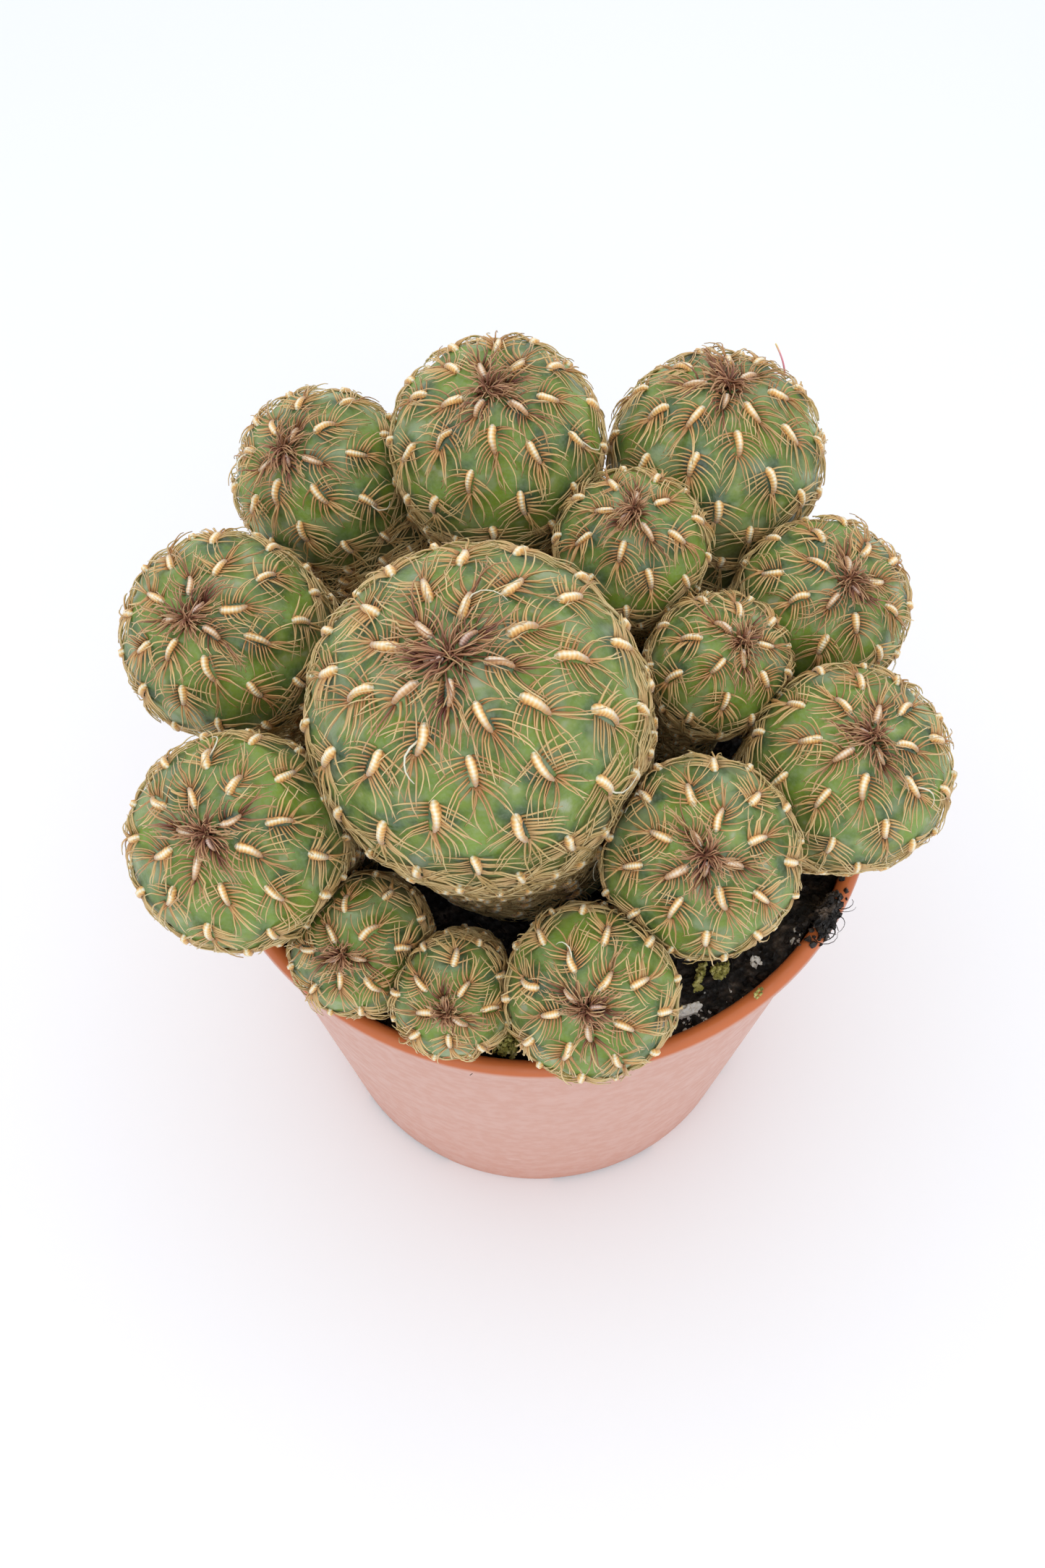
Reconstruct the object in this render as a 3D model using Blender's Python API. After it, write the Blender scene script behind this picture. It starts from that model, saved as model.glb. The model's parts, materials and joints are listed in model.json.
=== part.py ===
"""A clump of round cactus heads growing in a small round nursery pot.

Metres, +Z up. The origin is the middle of the pot's underside, which rests on z = 0, and
-Y is the front. Bearings are in degrees, anticlockwise from +X seen from above.
"""

import math
from collections import namedtuple

import bmesh
import bpy
import numpy as np
from mathutils import Vector

MM = 0.001

# Pot
POT_HEIGHT = 70.0 * MM
RIM_RADIUS = 42.5 * MM
BASE_RADIUS = 29.5 * MM
WALL = 0.9 * MM
FLOOR_THICKNESS = 1.5 * MM
ROLL_RADIUS = 1.15 * MM
BASE_ROUNDING = 0.8 * MM
POT_SEGMENTS = 48
ROLL_STEPS = 6
FLOOR_CENTRE_RADIUS = 8.0 * MM

DRAIN_HOLES = 6
DRAIN_HOLE_RADIUS = 2.6 * MM
DRAIN_CIRCLE_RADIUS = 17.0 * MM
DRAIN_HOLE_SIDES = 12

FOOT_NOTCHES = 6
NOTCH_HEIGHT = 0.8 * MM
NOTCH_DEPTH = 2.4 * MM
NOTCH_ANGLE = 30.0
FIRST_NOTCH_BEARING = -71.0
NOTCH_STEPS = 6

# Soil
SOIL_DROP = 4.7 * MM
SOIL_WAVE = 0.4 * MM
SOIL_WAVE_LENGTH = 26.0 * MM
SOIL_LEVEL_SHARE = 0.5
SOIL_RINGS = 8
SOIL_SEGMENTS = 40

# Plant
MOTHER_RADIUS = 19.8 * MM
MOTHER_NECK = 0.84
OFFSET_NECK = 0.66
NECK_LENGTH = 1.4
STEM_STEPS = 10
MOTHER_SEGMENTS = 24
OFFSET_SEGMENTS = 18
BODY_RINGS = 14

GAP = 0.3 * MM
HEAD_GAP = 0.45 * MM
RIM_CLEARANCE = 1.6 * MM
PRESS_STEPS = 24

TERRACOTTA = (0.62, 0.21, 0.09)
PEAT = (0.018, 0.013, 0.010)
SKIN = (0.12, 0.27, 0.06)
MOSS = (0.36, 0.38, 0.08)
BARK = (0.55, 0.50, 0.42)
PINK = (0.75, 0.20, 0.28)

Head = namedtuple(
    "Head",
    "name radius bearing reach height foot_bearing foot_share tip_bearing tip_lean",
)

# reach: the swelling's distance from the pot's axis; height: its centre above the rim;
# foot_share: how far out the stem roots, as a share of the room that its neck leaves;
# tip_lean: how far the growing tip leans from upright, towards tip_bearing.
HEADS = (
    Head("mother_head", MOTHER_RADIUS, -129, 11.6 * MM, 27.0 * MM, -127, 0.22, -126, 14),
    Head("head_back_left", 11.5 * MM, 128, 44.7 * MM, 12.0 * MM, 124, 0.94, -146, 27),
    Head("head_back", 13.4 * MM, 99, 34.1 * MM, 21.5 * MM, 97, 0.97, -118, 8),
    Head("head_back_right", 13.7 * MM, 58, 42.7 * MM, 14.9 * MM, 56, 0.96, 66, 7),
    Head("head_small_back", 9.4 * MM, 59, 21.6 * MM, 21.1 * MM, 60, 0.70, -94, 8),
    Head("head_right_rear", 10.9 * MM, 24, 38.5 * MM, 12.2 * MM, 30, 0.98, -53, 20),
    Head("head_small_right", 8.65 * MM, 10, 21.8 * MM, 17.5 * MM, 21, 0.54, -37, 19),
    Head("head_right", 12.4 * MM, -13, 37.9 * MM, 13.5 * MM, -11, 0.98, -60, 13),
    Head("head_front_right", 11.8 * MM, -50, 28.7 * MM, 16.7 * MM, -38, 0.72, -89, 27),
    Head("head_front", 10.05 * MM, -81, 37.1 * MM, 11.1 * MM, -76, 0.86, -98, 35),
    Head("head_small_front", 7.1 * MM, -106, 37.3 * MM, 8.2 * MM, -108, 0.80, -98, 39),
    Head("head_small_left", 8.5 * MM, -127, 35.7 * MM, 5.9 * MM, -131, 0.88, -109, 35),
    Head("head_left_front", 12.8 * MM, -150.5, 40.7 * MM, 16.9 * MM, -157, 0.99, -116, 26),
    Head("head_left_rear", 12.7 * MM, 166, 39.8 * MM, 14.9 * MM, 157, 1.0, -124, 25),
)

Lump = namedtuple("Lump", "name colour bearing reach length width height turn seed")

# reach: distance inwards from the rim's outer edge; turn: bearing of the length.
SOIL_LUMPS = (
    Lump("moss_cushion_right", MOSS, -51, 7.6 * MM, 7.4 * MM, 4.6 * MM, 1.5 * MM, 38, 3),
    Lump("moss_tuft_front", MOSS, -96, 5.0 * MM, 3.4 * MM, 3.2 * MM, 3.6 * MM, 0, 5),
    Lump("moss_tuft_left", MOSS, -141, 4.6 * MM, 3.4 * MM, 2.8 * MM, 3.2 * MM, -50, 8),
    Lump("bark_chip", BARK, -61.5, 5.6 * MM, 4.6 * MM, 1.7 * MM, 1.3 * MM, 22, 13),
    Lump("perlite_grain", BARK, -44, 5.4 * MM, 1.6 * MM, 1.3 * MM, 1.0 * MM, 60, 21),
)
RIM_LUMPS = (
    Lump("peat_crumb_on_rim", PEAT, -31.5, 1.5 * MM, 5.6 * MM, 2.2 * MM, 1.3 * MM, 62, 34),
    Lump("moss_crumb_on_rim", MOSS, -50.5, 1.0 * MM, 1.4 * MM, 1.2 * MM, 0.9 * MM, 40, 55),
)
LUMP_SEGMENTS = 12
LUMP_RINGS = 6
LUMP_ROUGHNESS = 0.18

THREAD_HEAD = "head_back_right"
THREAD_RADIUS = 0.14 * MM
THREAD_LENGTH = 3.9 * MM
THREAD_ROOT = Vector((0.60, 0.49, 0.63))
THREAD_RISE = Vector((-0.03, 0.42, 0.90))
THREAD_BEND = Vector((-0.35, 0.0, 0.25))
THREAD_POINTS = 9


def clear_scene():
    for obj in list(bpy.data.objects):
        bpy.data.objects.remove(obj, do_unlink=True)


def material(name, colour, roughness):
    made = bpy.data.materials.get(name) or bpy.data.materials.new(name)
    made.use_nodes = True
    shader = made.node_tree.nodes["Principled BSDF"]
    shader.inputs["Base Color"].default_value = (*colour, 1.0)
    shader.inputs["Roughness"].default_value = roughness
    shader.inputs["Metallic"].default_value = 0.0
    return made


def add_object(name, bm, finish=None):
    """A named object made of the bmesh, with outward faces, shaded smooth but for its edges."""
    bmesh.ops.recalc_face_normals(bm, faces=bm.faces)
    mesh = bpy.data.meshes.new(name)
    bm.to_mesh(mesh)
    bm.free()
    mesh.shade_smooth()
    mesh.set_sharp_from_angle(angle=math.radians(40))
    if finish:
        mesh.materials.append(finish)
    obj = bpy.data.objects.new(name, mesh)
    bpy.context.scene.collection.objects.link(obj)
    return obj


def direction(bearing, lean=90.0):
    """The unit vector that leans this many degrees from +Z, towards this bearing."""
    across = math.sin(math.radians(lean))
    turn = math.radians(bearing)
    upright = math.cos(math.radians(lean))
    return Vector((across * math.cos(turn), across * math.sin(turn), upright))


# ---------------------------------------------------------------- pot


def wall_radius(z):
    """The outside radius of the pot's tapered wall at this height."""
    top = POT_HEIGHT - ROLL_RADIUS
    share = z / top
    return BASE_RADIUS + (RIM_RADIUS - ROLL_RADIUS - BASE_RADIUS) * share


def turned(profile, steps):
    """A bmesh of this open outline of (radius, height) points turned once round the Z axis."""
    bm = bmesh.new()
    verts = [bm.verts.new((radius, 0.0, z)) for radius, z in profile]
    edges = [bm.edges.new(pair) for pair in zip(verts, verts[1:])]
    bmesh.ops.spin(
        bm,
        geom=verts + edges,
        cent=(0.0, 0.0, 0.0),
        axis=(0.0, 0.0, 1.0),
        angle=math.tau,
        steps=steps,
        use_merge=True,
    )
    bmesh.ops.remove_doubles(bm, verts=bm.verts, dist=1e-6)
    rims = [edge for edge in bm.edges if edge.is_boundary]
    bmesh.ops.holes_fill(bm, edges=rims, sides=0)
    return bm


def pot_profile():
    """From the middle of the underside, out, up the outside, round the rim and down again."""
    points = [(FLOOR_CENTRE_RADIUS, 0.0), (BASE_RADIUS - BASE_ROUNDING, 0.0)]
    corner = math.sqrt(0.5)
    centre = BASE_RADIUS - BASE_ROUNDING
    points.append((centre + BASE_ROUNDING * corner, BASE_ROUNDING * (1.0 - corner)))
    points.append((wall_radius(BASE_ROUNDING), BASE_ROUNDING))
    roll_x = RIM_RADIUS - ROLL_RADIUS
    roll_z = POT_HEIGHT - ROLL_RADIUS
    for step in range(ROLL_STEPS + 1):
        angle = math.radians(-60.0 + 275.0 * step / ROLL_STEPS)
        out = ROLL_RADIUS * math.cos(angle)
        points.append((roll_x + out, roll_z + ROLL_RADIUS * math.sin(angle)))
    points.append((wall_radius(FLOOR_THICKNESS) - WALL, FLOOR_THICKNESS))
    points.append((FLOOR_CENTRE_RADIUS, FLOOR_THICKNESS))
    return points


def cutter(name, bm):
    obj = add_object(name, bm)
    obj.hide_render = True
    obj.display_type = "WIRE"
    return obj


def cut(obj, tool):
    boolean = obj.modifiers.new(tool.name, "BOOLEAN")
    boolean.operation = "DIFFERENCE"
    boolean.solver = "EXACT"
    boolean.object = tool


def drain_hole_cutter():
    bm = bmesh.new()
    for index in range(DRAIN_HOLES):
        bearing = FIRST_NOTCH_BEARING + 360.0 * index / DRAIN_HOLES
        made = bmesh.ops.create_cone(
            bm,
            cap_ends=True,
            segments=DRAIN_HOLE_SIDES,
            radius1=DRAIN_HOLE_RADIUS,
            radius2=DRAIN_HOLE_RADIUS,
            depth=4.0 * FLOOR_THICKNESS,
        )
        place = direction(bearing) * DRAIN_CIRCLE_RADIUS
        bmesh.ops.translate(bm, verts=made["verts"], vec=place)
    return cutter("drain_holes", bm)


def foot_notch_cutter():
    """Curved blocks that lift the pot's outer bottom edge between its feet."""
    bm = bmesh.new()
    inner = BASE_RADIUS - NOTCH_DEPTH
    outer = BASE_RADIUS + NOTCH_DEPTH
    outline = (
        (inner, -NOTCH_HEIGHT),
        (outer, -NOTCH_HEIGHT),
        (outer, NOTCH_HEIGHT),
        (inner, NOTCH_HEIGHT),
    )
    for index in range(FOOT_NOTCHES):
        bearing = FIRST_NOTCH_BEARING + 360.0 * index / FOOT_NOTCHES
        start = direction(bearing - NOTCH_ANGLE / 2.0)
        corners = [bm.verts.new((*(start * radius).xy, z)) for radius, z in outline]
        face = bm.faces.new(corners)
        bmesh.ops.spin(
            bm,
            geom=[face, *face.edges, *face.verts],
            cent=(0.0, 0.0, 0.0),
            axis=(0.0, 0.0, 1.0),
            angle=math.radians(NOTCH_ANGLE),
            steps=NOTCH_STEPS,
        )
    return cutter("foot_notches", bm)


def make_pot():
    pot = add_object(
        "pot",
        turned(pot_profile(), POT_SEGMENTS),
        material("terracotta plastic", TERRACOTTA, 0.45),
    )
    cut(pot, drain_hole_cutter())
    cut(pot, foot_notch_cutter())


# ---------------------------------------------------------------- soil


def soil_edge_radius():
    return wall_radius(POT_HEIGHT - SOIL_DROP) - WALL - GAP


def soil_height(x, y):
    """The height of the soil's top: level under the mother head, and uneven further out."""
    turn = math.tau / SOIL_WAVE_LENGTH
    wave = np.sin(turn * x + 0.8) * np.cos(turn * 0.83 * y - 0.4)
    share = np.hypot(x, y) / soil_edge_radius()
    outside = np.clip((share - SOIL_LEVEL_SHARE) / (1.0 - SOIL_LEVEL_SHARE), 0.0, 1.0)
    return POT_HEIGHT - SOIL_DROP + SOIL_WAVE * wave * outside


def make_soil():
    low = FLOOR_THICKNESS + GAP
    edge = soil_edge_radius()
    profile = [(FLOOR_CENTRE_RADIUS, low), (wall_radius(low) - WALL - GAP, low)]
    top = POT_HEIGHT - SOIL_DROP
    for ring in range(SOIL_RINGS, 0, -1):
        profile.append((edge * ring / SOIL_RINGS, top))
    bm = turned(profile, SOIL_SEGMENTS)
    for vert in bm.verts:
        if vert.co.z > top / 2.0:
            vert.co.z = soil_height(vert.co.x, vert.co.y)
    add_object("soil", bm, material("moist peat", PEAT, 0.95))


# ---------------------------------------------------------------- plant


def smoothed(start, end, from_way, to_way, share):
    """The point at this share of the curve that leaves start along from_way and meets end."""
    reach = (end - start).length / 3.0
    a = start + from_way * reach
    b = end - to_way * reach
    rest = 1.0 - share
    return (
        start * rest**3
        + a * (3.0 * rest**2 * share)
        + b * (3.0 * rest * share**2)
        + end * share**3
    )


def swelling_centre(head):
    """Its grown place, or higher where it has to rest over the pot's rim."""
    flat = direction(head.bearing) * head.reach
    apart = head.reach - (RIM_RADIUS - ROLL_RADIUS)
    rest = head.radius + ROLL_RADIUS + GAP
    over_rim = math.sqrt(max(rest**2 - apart**2, 0.0)) - ROLL_RADIUS
    if head is HEADS[0]:
        over_rim = 0.0
    return flat + Vector((0.0, 0.0, POT_HEIGHT + max(head.height, over_rim)))


class Stem:
    """One head: a round swelling on a narrower stem that roots in the soil."""

    def __init__(self, head):
        self.name = head.name
        self.radius = head.radius
        self.neck = head.radius * (MOTHER_NECK if head is HEADS[0] else OFFSET_NECK)
        self.centre = swelling_centre(head)
        self.tip_way = direction(head.tip_bearing, head.tip_lean)
        room_out = soil_edge_radius() - self.neck
        foot = direction(head.foot_bearing) * (head.foot_share * room_out)
        foot.z = soil_height(foot.x, foot.y) + GAP
        self.foot = foot
        line = [self.point(step / STEM_STEPS) for step in range(STEM_STEPS + 1)]
        widths = [self.width(step / STEM_STEPS) for step in range(STEM_STEPS + 1)]
        self.line = np.array([tuple(point) for point in line])
        self.widths = np.array(widths)

    def point(self, share):
        """A point on the stem's middle line, from 0 at the foot to 1 in the swelling."""
        upright = Vector((0.0, 0.0, 1.0))
        return smoothed(self.foot, self.centre, upright, self.tip_way, share)

    def width(self, share):
        """The stem's radius there: full at the swelling, easing down to the neck."""
        depth = (1.0 - share) * (self.centre - self.foot).length
        fall = min(depth / (self.radius * NECK_LENGTH), 1.0)
        ease = 0.5 * (1.0 + math.cos(math.pi * fall))
        return self.neck + (self.radius - self.neck) * ease

    def distance(self, points):
        """How far outside this head each point is, negative inside."""
        apart = np.linalg.norm(points[:, None, :] - self.line[None], axis=2)
        return (apart - self.widths).min(axis=1)


def rim_distance(points):
    """How far each point is from the pot's rolled rim and the wall under it."""
    across = np.hypot(points[:, 0], points[:, 1])
    roll_x = RIM_RADIUS - ROLL_RADIUS
    roll_z = POT_HEIGHT - ROLL_RADIUS
    to_roll = np.hypot(across - roll_x, points[:, 2] - roll_z) - ROLL_RADIUS
    below = np.minimum(points[:, 2], roll_z)
    middle = BASE_RADIUS + (roll_x - BASE_RADIUS) * below / roll_z - WALL / 2.0
    to_wall = np.hypot(across - middle, points[:, 2] - below) - WALL / 2.0
    return np.minimum(to_roll, to_wall)


def room(points, own, others, rim_gap):
    """The least spare distance from each point to the soil, the rim and every other head."""
    soil = points[:, 2] - soil_height(points[:, 0], points[:, 1]) - 0.98 * GAP
    spare = np.minimum(soil, rim_distance(points) - rim_gap)
    if own is None:
        for other in others:
            spare = np.minimum(spare, other.distance(points) - HEAD_GAP)
        return spare
    inside = np.minimum(own.distance(points), 0.0)
    for other in others:
        spare = np.minimum(spare, other.distance(points) - inside - HEAD_GAP)
    return spare


def pressed(points, middles, own, others, rim_gap):
    """The points, each drawn towards its own middle until nothing else is in its place."""
    low = np.zeros(len(points))
    high = np.ones(len(points))
    free = room(points, own, others, rim_gap) >= 0.0
    for _ in range(PRESS_STEPS):
        share = (low + high) / 2.0
        tried = middles + (points - middles) * share[:, None]
        fits = room(tried, own, others, rim_gap) >= 0.0
        low = np.where(fits, share, low)
        high = np.where(fits, high, share)
    low = np.where(free, 1.0, low)
    return middles + (points - middles) * low[:, None]


def make_head(stem, others, segments):
    """A sphere whose upper half is the crown, and whose lower rings run down the stem."""
    bm = bmesh.new()
    bmesh.ops.create_uvsphere(bm, u_segments=segments, v_segments=BODY_RINGS, radius=1.0)
    bm.verts.ensure_lookup_table()
    side = stem.tip_way.cross(Vector((0.0, 1.0, 0.0))).normalized()
    points = []
    middles = []
    last_ring = 1.0 - 2.0 / BODY_RINGS
    for vert in bm.verts:
        turn = math.atan2(vert.co.y, vert.co.x)
        across = math.hypot(vert.co.x, vert.co.y)
        if vert.co.z >= -1e-6:
            way = stem.tip_way
            middle = stem.centre
            radius = stem.radius
            rise = vert.co.z * stem.radius
        else:
            share = math.acos(min(across, 1.0)) / (math.pi / 2.0) / last_ring
            share = max(1.0 - share, 0.0)
            way = Vector((0.0, 0.0, 1.0)).lerp(stem.tip_way, share).normalized()
            middle = stem.point(share)
            radius = stem.width(share)
            rise = 0.0
            across = 0.0 if across < 1e-6 else 1.0
        first = (side - way * side.dot(way)).normalized()
        second = way.cross(first)
        around = first * math.cos(turn) + second * math.sin(turn)
        points.append(middle + around * (across * radius) + way * rise)
        middles.append(middle)
    placed = pressed(
        np.array([tuple(point) for point in points]),
        np.array([tuple(middle) for middle in middles]),
        stem,
        others,
        RIM_CLEARANCE,
    )
    for vert, place in zip(bm.verts, placed):
        vert.co = place
    add_object(stem.name, bm, material("cactus skin", SKIN, 0.5))


def make_heads(stems):
    for index, stem in enumerate(stems):
        others = stems[:index] + stems[index + 1 :]
        make_head(stem, others, MOTHER_SEGMENTS if index == 0 else OFFSET_SEGMENTS)


# ---------------------------------------------------------------- loose bits


def make_lump(lump, base_height, stems, rim_gap):
    """A small rough mound, flat underneath, that keeps clear of the heads and the rim."""
    dice = np.random.default_rng(lump.seed)
    bm = bmesh.new()
    bmesh.ops.create_uvsphere(bm, u_segments=LUMP_SEGMENTS, v_segments=LUMP_RINGS, radius=1.0)
    centre = direction(lump.bearing) * (RIM_RADIUS - lump.reach)
    along = direction(lump.turn)
    aside = direction(lump.turn + 90.0)
    points = []
    for vert in bm.verts:
        swell = 1.0 + LUMP_ROUGHNESS * dice.uniform(-1.0, 1.0)
        flat = (
            centre
            + along * (vert.co.x * swell * lump.length / 2.0)
            + aside * (vert.co.y * swell * lump.width / 2.0)
        )
        flat.z = base_height(flat.x, flat.y) + 1.1 * GAP
        flat.z += lump.height * swell * (0.5 + 0.5 * vert.co.z)
        points.append(tuple(flat))
    centre.z = base_height(centre.x, centre.y) + 1.1 * GAP + lump.height / 2.0
    points = np.array(points)
    middles = np.broadcast_to(np.array(tuple(centre)), points.shape)
    placed = pressed(points, middles, None, stems, rim_gap)
    for vert, place in zip(bm.verts, placed):
        vert.co = place
    add_object(lump.name, bm, material(lump.name, lump.colour, 0.9))


def rim_top(_x, _y):
    return POT_HEIGHT


def make_lumps(stems):
    for lump in SOIL_LUMPS:
        make_lump(lump, soil_height, stems, GAP)
    for lump in RIM_LUMPS:
        make_lump(lump, rim_top, stems, 0.0)


def make_flower_thread(stem):
    """A single dried flower thread standing off one of the back heads."""
    root = THREAD_ROOT.normalized()
    start = stem.centre + root * (stem.radius + GAP)
    rise = THREAD_RISE.normalized()
    curve = bpy.data.curves.new("flower_thread", "CURVE")
    curve.dimensions = "3D"
    curve.bevel_depth = THREAD_RADIUS
    curve.bevel_resolution = 1
    curve.use_fill_caps = True
    spline = curve.splines.new("POLY")
    spline.points.add(THREAD_POINTS - 1)
    for index, point in enumerate(spline.points):
        share = index / (THREAD_POINTS - 1)
        bend = THREAD_BEND * (share * share * THREAD_LENGTH)
        point.co = (*(start + rise * (share * THREAD_LENGTH) + bend), 1.0)
    curve.materials.append(material("flower thread", PINK, 0.5))
    thread = bpy.data.objects.new("flower_thread", curve)
    bpy.context.scene.collection.objects.link(thread)


def main():
    clear_scene()
    make_pot()
    make_soil()
    stems = [Stem(head) for head in HEADS]
    make_heads(stems)
    make_lumps(stems)
    holder = next(stem for stem in stems if stem.name == THREAD_HEAD)
    make_flower_thread(holder)


main()
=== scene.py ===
"""The looks of the cactus clump in its nursery pot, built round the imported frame. Metres, +Z up."""

import json
import math
from types import SimpleNamespace

import bpy
import numpy as np
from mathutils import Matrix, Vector, noise
from mathutils.bvhtree import BVHTree


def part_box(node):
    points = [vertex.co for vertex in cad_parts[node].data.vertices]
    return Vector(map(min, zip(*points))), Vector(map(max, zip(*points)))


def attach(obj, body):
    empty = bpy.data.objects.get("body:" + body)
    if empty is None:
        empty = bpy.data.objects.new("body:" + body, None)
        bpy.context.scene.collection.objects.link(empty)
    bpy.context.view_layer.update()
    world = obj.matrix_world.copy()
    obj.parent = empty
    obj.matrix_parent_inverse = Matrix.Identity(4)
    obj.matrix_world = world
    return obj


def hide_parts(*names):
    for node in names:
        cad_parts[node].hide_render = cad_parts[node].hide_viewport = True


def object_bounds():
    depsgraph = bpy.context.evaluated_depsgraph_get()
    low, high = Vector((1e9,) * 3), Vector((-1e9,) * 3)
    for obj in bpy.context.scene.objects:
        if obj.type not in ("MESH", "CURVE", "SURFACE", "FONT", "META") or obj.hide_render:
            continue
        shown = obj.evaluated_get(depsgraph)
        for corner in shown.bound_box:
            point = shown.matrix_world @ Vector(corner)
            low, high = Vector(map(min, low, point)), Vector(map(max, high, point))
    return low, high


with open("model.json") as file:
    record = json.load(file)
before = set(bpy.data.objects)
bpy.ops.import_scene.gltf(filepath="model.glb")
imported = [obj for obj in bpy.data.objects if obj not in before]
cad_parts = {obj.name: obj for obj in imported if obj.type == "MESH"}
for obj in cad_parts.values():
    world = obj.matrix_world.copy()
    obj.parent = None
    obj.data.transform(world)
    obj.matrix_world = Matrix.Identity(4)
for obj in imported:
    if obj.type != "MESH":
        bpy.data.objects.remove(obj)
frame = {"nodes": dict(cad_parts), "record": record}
cad_low, cad_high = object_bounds()

MM = 0.001
UP = Vector((0.0, 0.0, 1.0))
GOLDEN_TURN = math.radians(137.508)

# The spirals of felt ridges. Lengths down a head are shares of its radius.
ORDINARY_HEAD = 12.0 * MM
ORDINARY_GAP = 7.2 * MM
GAP_GROWTH = 0.5
SPIRAL_STEP = math.radians(100)
CROWDED_TIP = 0.50
OPEN_FROM = 1.1
FLANK_CROWDING = 0.58
FLANK_FROM = 1.1
FLANK_LENGTH = 0.9
FIRST_RIDGE = 0.6
RIDGED_STEM = 0.86
SPIRAL_SAMPLES = 240
# Each ridge in an even spread takes this share of its gap squared.
HONEYCOMB = 0.866

# Skin
WART_HEIGHT = 0.10
WART_REACH = 0.56
WOBBLE_HEIGHT = 0.16 * MM
WOBBLE_SIZE = 6.25 * MM
TIGHT_ROOM = 1.0 * MM

# Felt ridges: a length or width, and what it grows by with the head's radius.
RIDGE_LENGTH = 1.45 * MM
RIDGE_LENGTH_GROWTH = 0.133
RIDGE_WIDTH = 0.74 * MM
RIDGE_WIDTH_GROWTH = 0.030
YOUNG_RIDGE = 0.42
RIDGE_RINGS = 10
FELT_BANDS = 4

# Spines. Their bands on the strand map run from the youngest to the oldest.
SPINE_REACH = 2.1 * MM
SPINE_REACH_GROWTH = 0.180
SPINE_RADIUS = 0.166 * MM
SPINE_BANDS = 16
STRAND_LEVELS = 6
TAIL_SPINES = 6
TIP_SPINES = 85
LOST_SPINES = 0.06
STRAY_TONE = 0.97
THICK_SPINES_AT = 19.8 * MM
NINE_TEETH_FROM = 15.0 * MM

# Pot
LIP_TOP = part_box("pot")[1].z
POT_SIDES = 144
WALL = 0.9 * MM
LIP_RADIUS = 1.15 * MM
FLOOR_THICKNESS = 1.5 * MM
BOTTOM_ROUNDING = 0.8 * MM
FEET = 6
NOTCH_BEARING = -71.0
NOTCH_ANGLE = 30.0
NOTCH_HEIGHT = 0.8 * MM
NOTCH_DEPTH = 2.4 * MM
NOTCH_STEPS = 12
DRAIN_RADIUS = 2.6 * MM
DRAIN_CIRCLE = 17.0 * MM

# Faint rubbed marks low on the front of the wall: place, half sizes and tint.
SCUFFS = (
    (Vector((-3.4, -33.4, 14.0)) * MM, Vector((2.4, 3.0, 0.5)) * MM, (0.80, 0.58, 0.52)),
    (Vector((5.2, -34.0, 17.5)) * MM, Vector((1.6, 3.0, 0.4)) * MM, (0.82, 0.62, 0.52)),
    (Vector((1.6, -34.4, 22.0)) * MM, Vector((2.0, 3.0, 0.3)) * MM, (0.56, 0.28, 0.21)),
)

# Soil
SOIL_SIDES = 132
SOIL_STEP = 0.9 * MM
MOUND_PLACE = Vector((33.4, -20.6, 0.0)) * MM
MOUND_SPREAD = 4.6 * MM
MOUND_HEIGHT = 3.9 * MM
RIM_PEAT_PLACE = Vector((35.6, -22.0, 0.0)) * MM
# Bands of the strand map that the fibres take: the lower, the darker.
SOIL_FIBRES = (0, 2, 5, 8, 15)
DARK_FIBRES = (0, 1, 2, 3)

# Each moss node: how many crumbs it has, their size in millimetres and how patchy it is.
MOSS = {
    "moss_cushion_right": (330, 0.26, 0.16),
    "moss_tuft_front": (190, 0.27, -0.6),
    "moss_tuft_left": (190, 0.27, -0.6),
    "moss_crumb_on_rim": (30, 0.17, -2.0),
}

# Pale scraps along the lip: place, spread and count.
PALE_BITS = (
    (Vector((18.9, -34.8, 0.0)) * MM, 1.6 * MM, 60),
    (Vector((31.9, -23.4, 0.0)) * MM, 1.1 * MM, 18),
    (Vector((22.6, -32.6, 0.0)) * MM, 3.6 * MM, 12),
    (Vector((18.0, -32.0, 0.0)) * MM, 1.6 * MM, 12),
)

# Stage: each light's name, place, size and power.
LIGHTS = (
    ("overhead softbox", (-0.10, 0.20, 1.00), 1.0, 1.7),
    ("front fill", (0.15, -0.75, 0.80), 0.7, 1.2),
)
LIGHT_AIM = Vector((0.0, 0.0, 0.06))
SKY_COLOUR = (0.95, 0.97, 1.0)
SKY_STRENGTH = 0.98
FLOOR_WIDTH = 6.0
CAMERA_PLACE = Vector((-2.2, -162.2, 357.4)) * MM
CAMERA_TILT = 29.0
CAMERA_LENS = 59.8


def clipped(value):
    """The value, or 0 or 1 where it is past them."""
    return np.clip(value, 0.0, 1.0)


def eased(value):
    """0 up to 0 and 1 from 1 on, with a smooth slope between them."""
    share = clipped(value)
    return share * share * (3.0 - 2.0 * share)


# ---------------------------------------------------------------- shader helpers


class Wire:
    """One output of a node, which sums can be written with."""

    def __init__(self, finish, socket):
        self.finish = finish
        self.socket = socket

    def sum(self, operation, first, second):
        return self.finish.node("Math", {"operation": operation}, {0: first, 1: second})

    def __add__(self, other):
        return self.sum("ADD", self, other)

    def __radd__(self, other):
        return self.sum("ADD", other, self)

    def __sub__(self, other):
        return self.sum("SUBTRACT", self, other)

    def __rsub__(self, other):
        return self.sum("SUBTRACT", other, self)

    def __mul__(self, other):
        return self.sum("MULTIPLY", self, other)

    def __rmul__(self, other):
        return self.sum("MULTIPLY", other, self)

    def __truediv__(self, other):
        return self.sum("DIVIDE", self, other)

    def __pow__(self, other):
        return self.sum("POWER", self, other)


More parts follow.
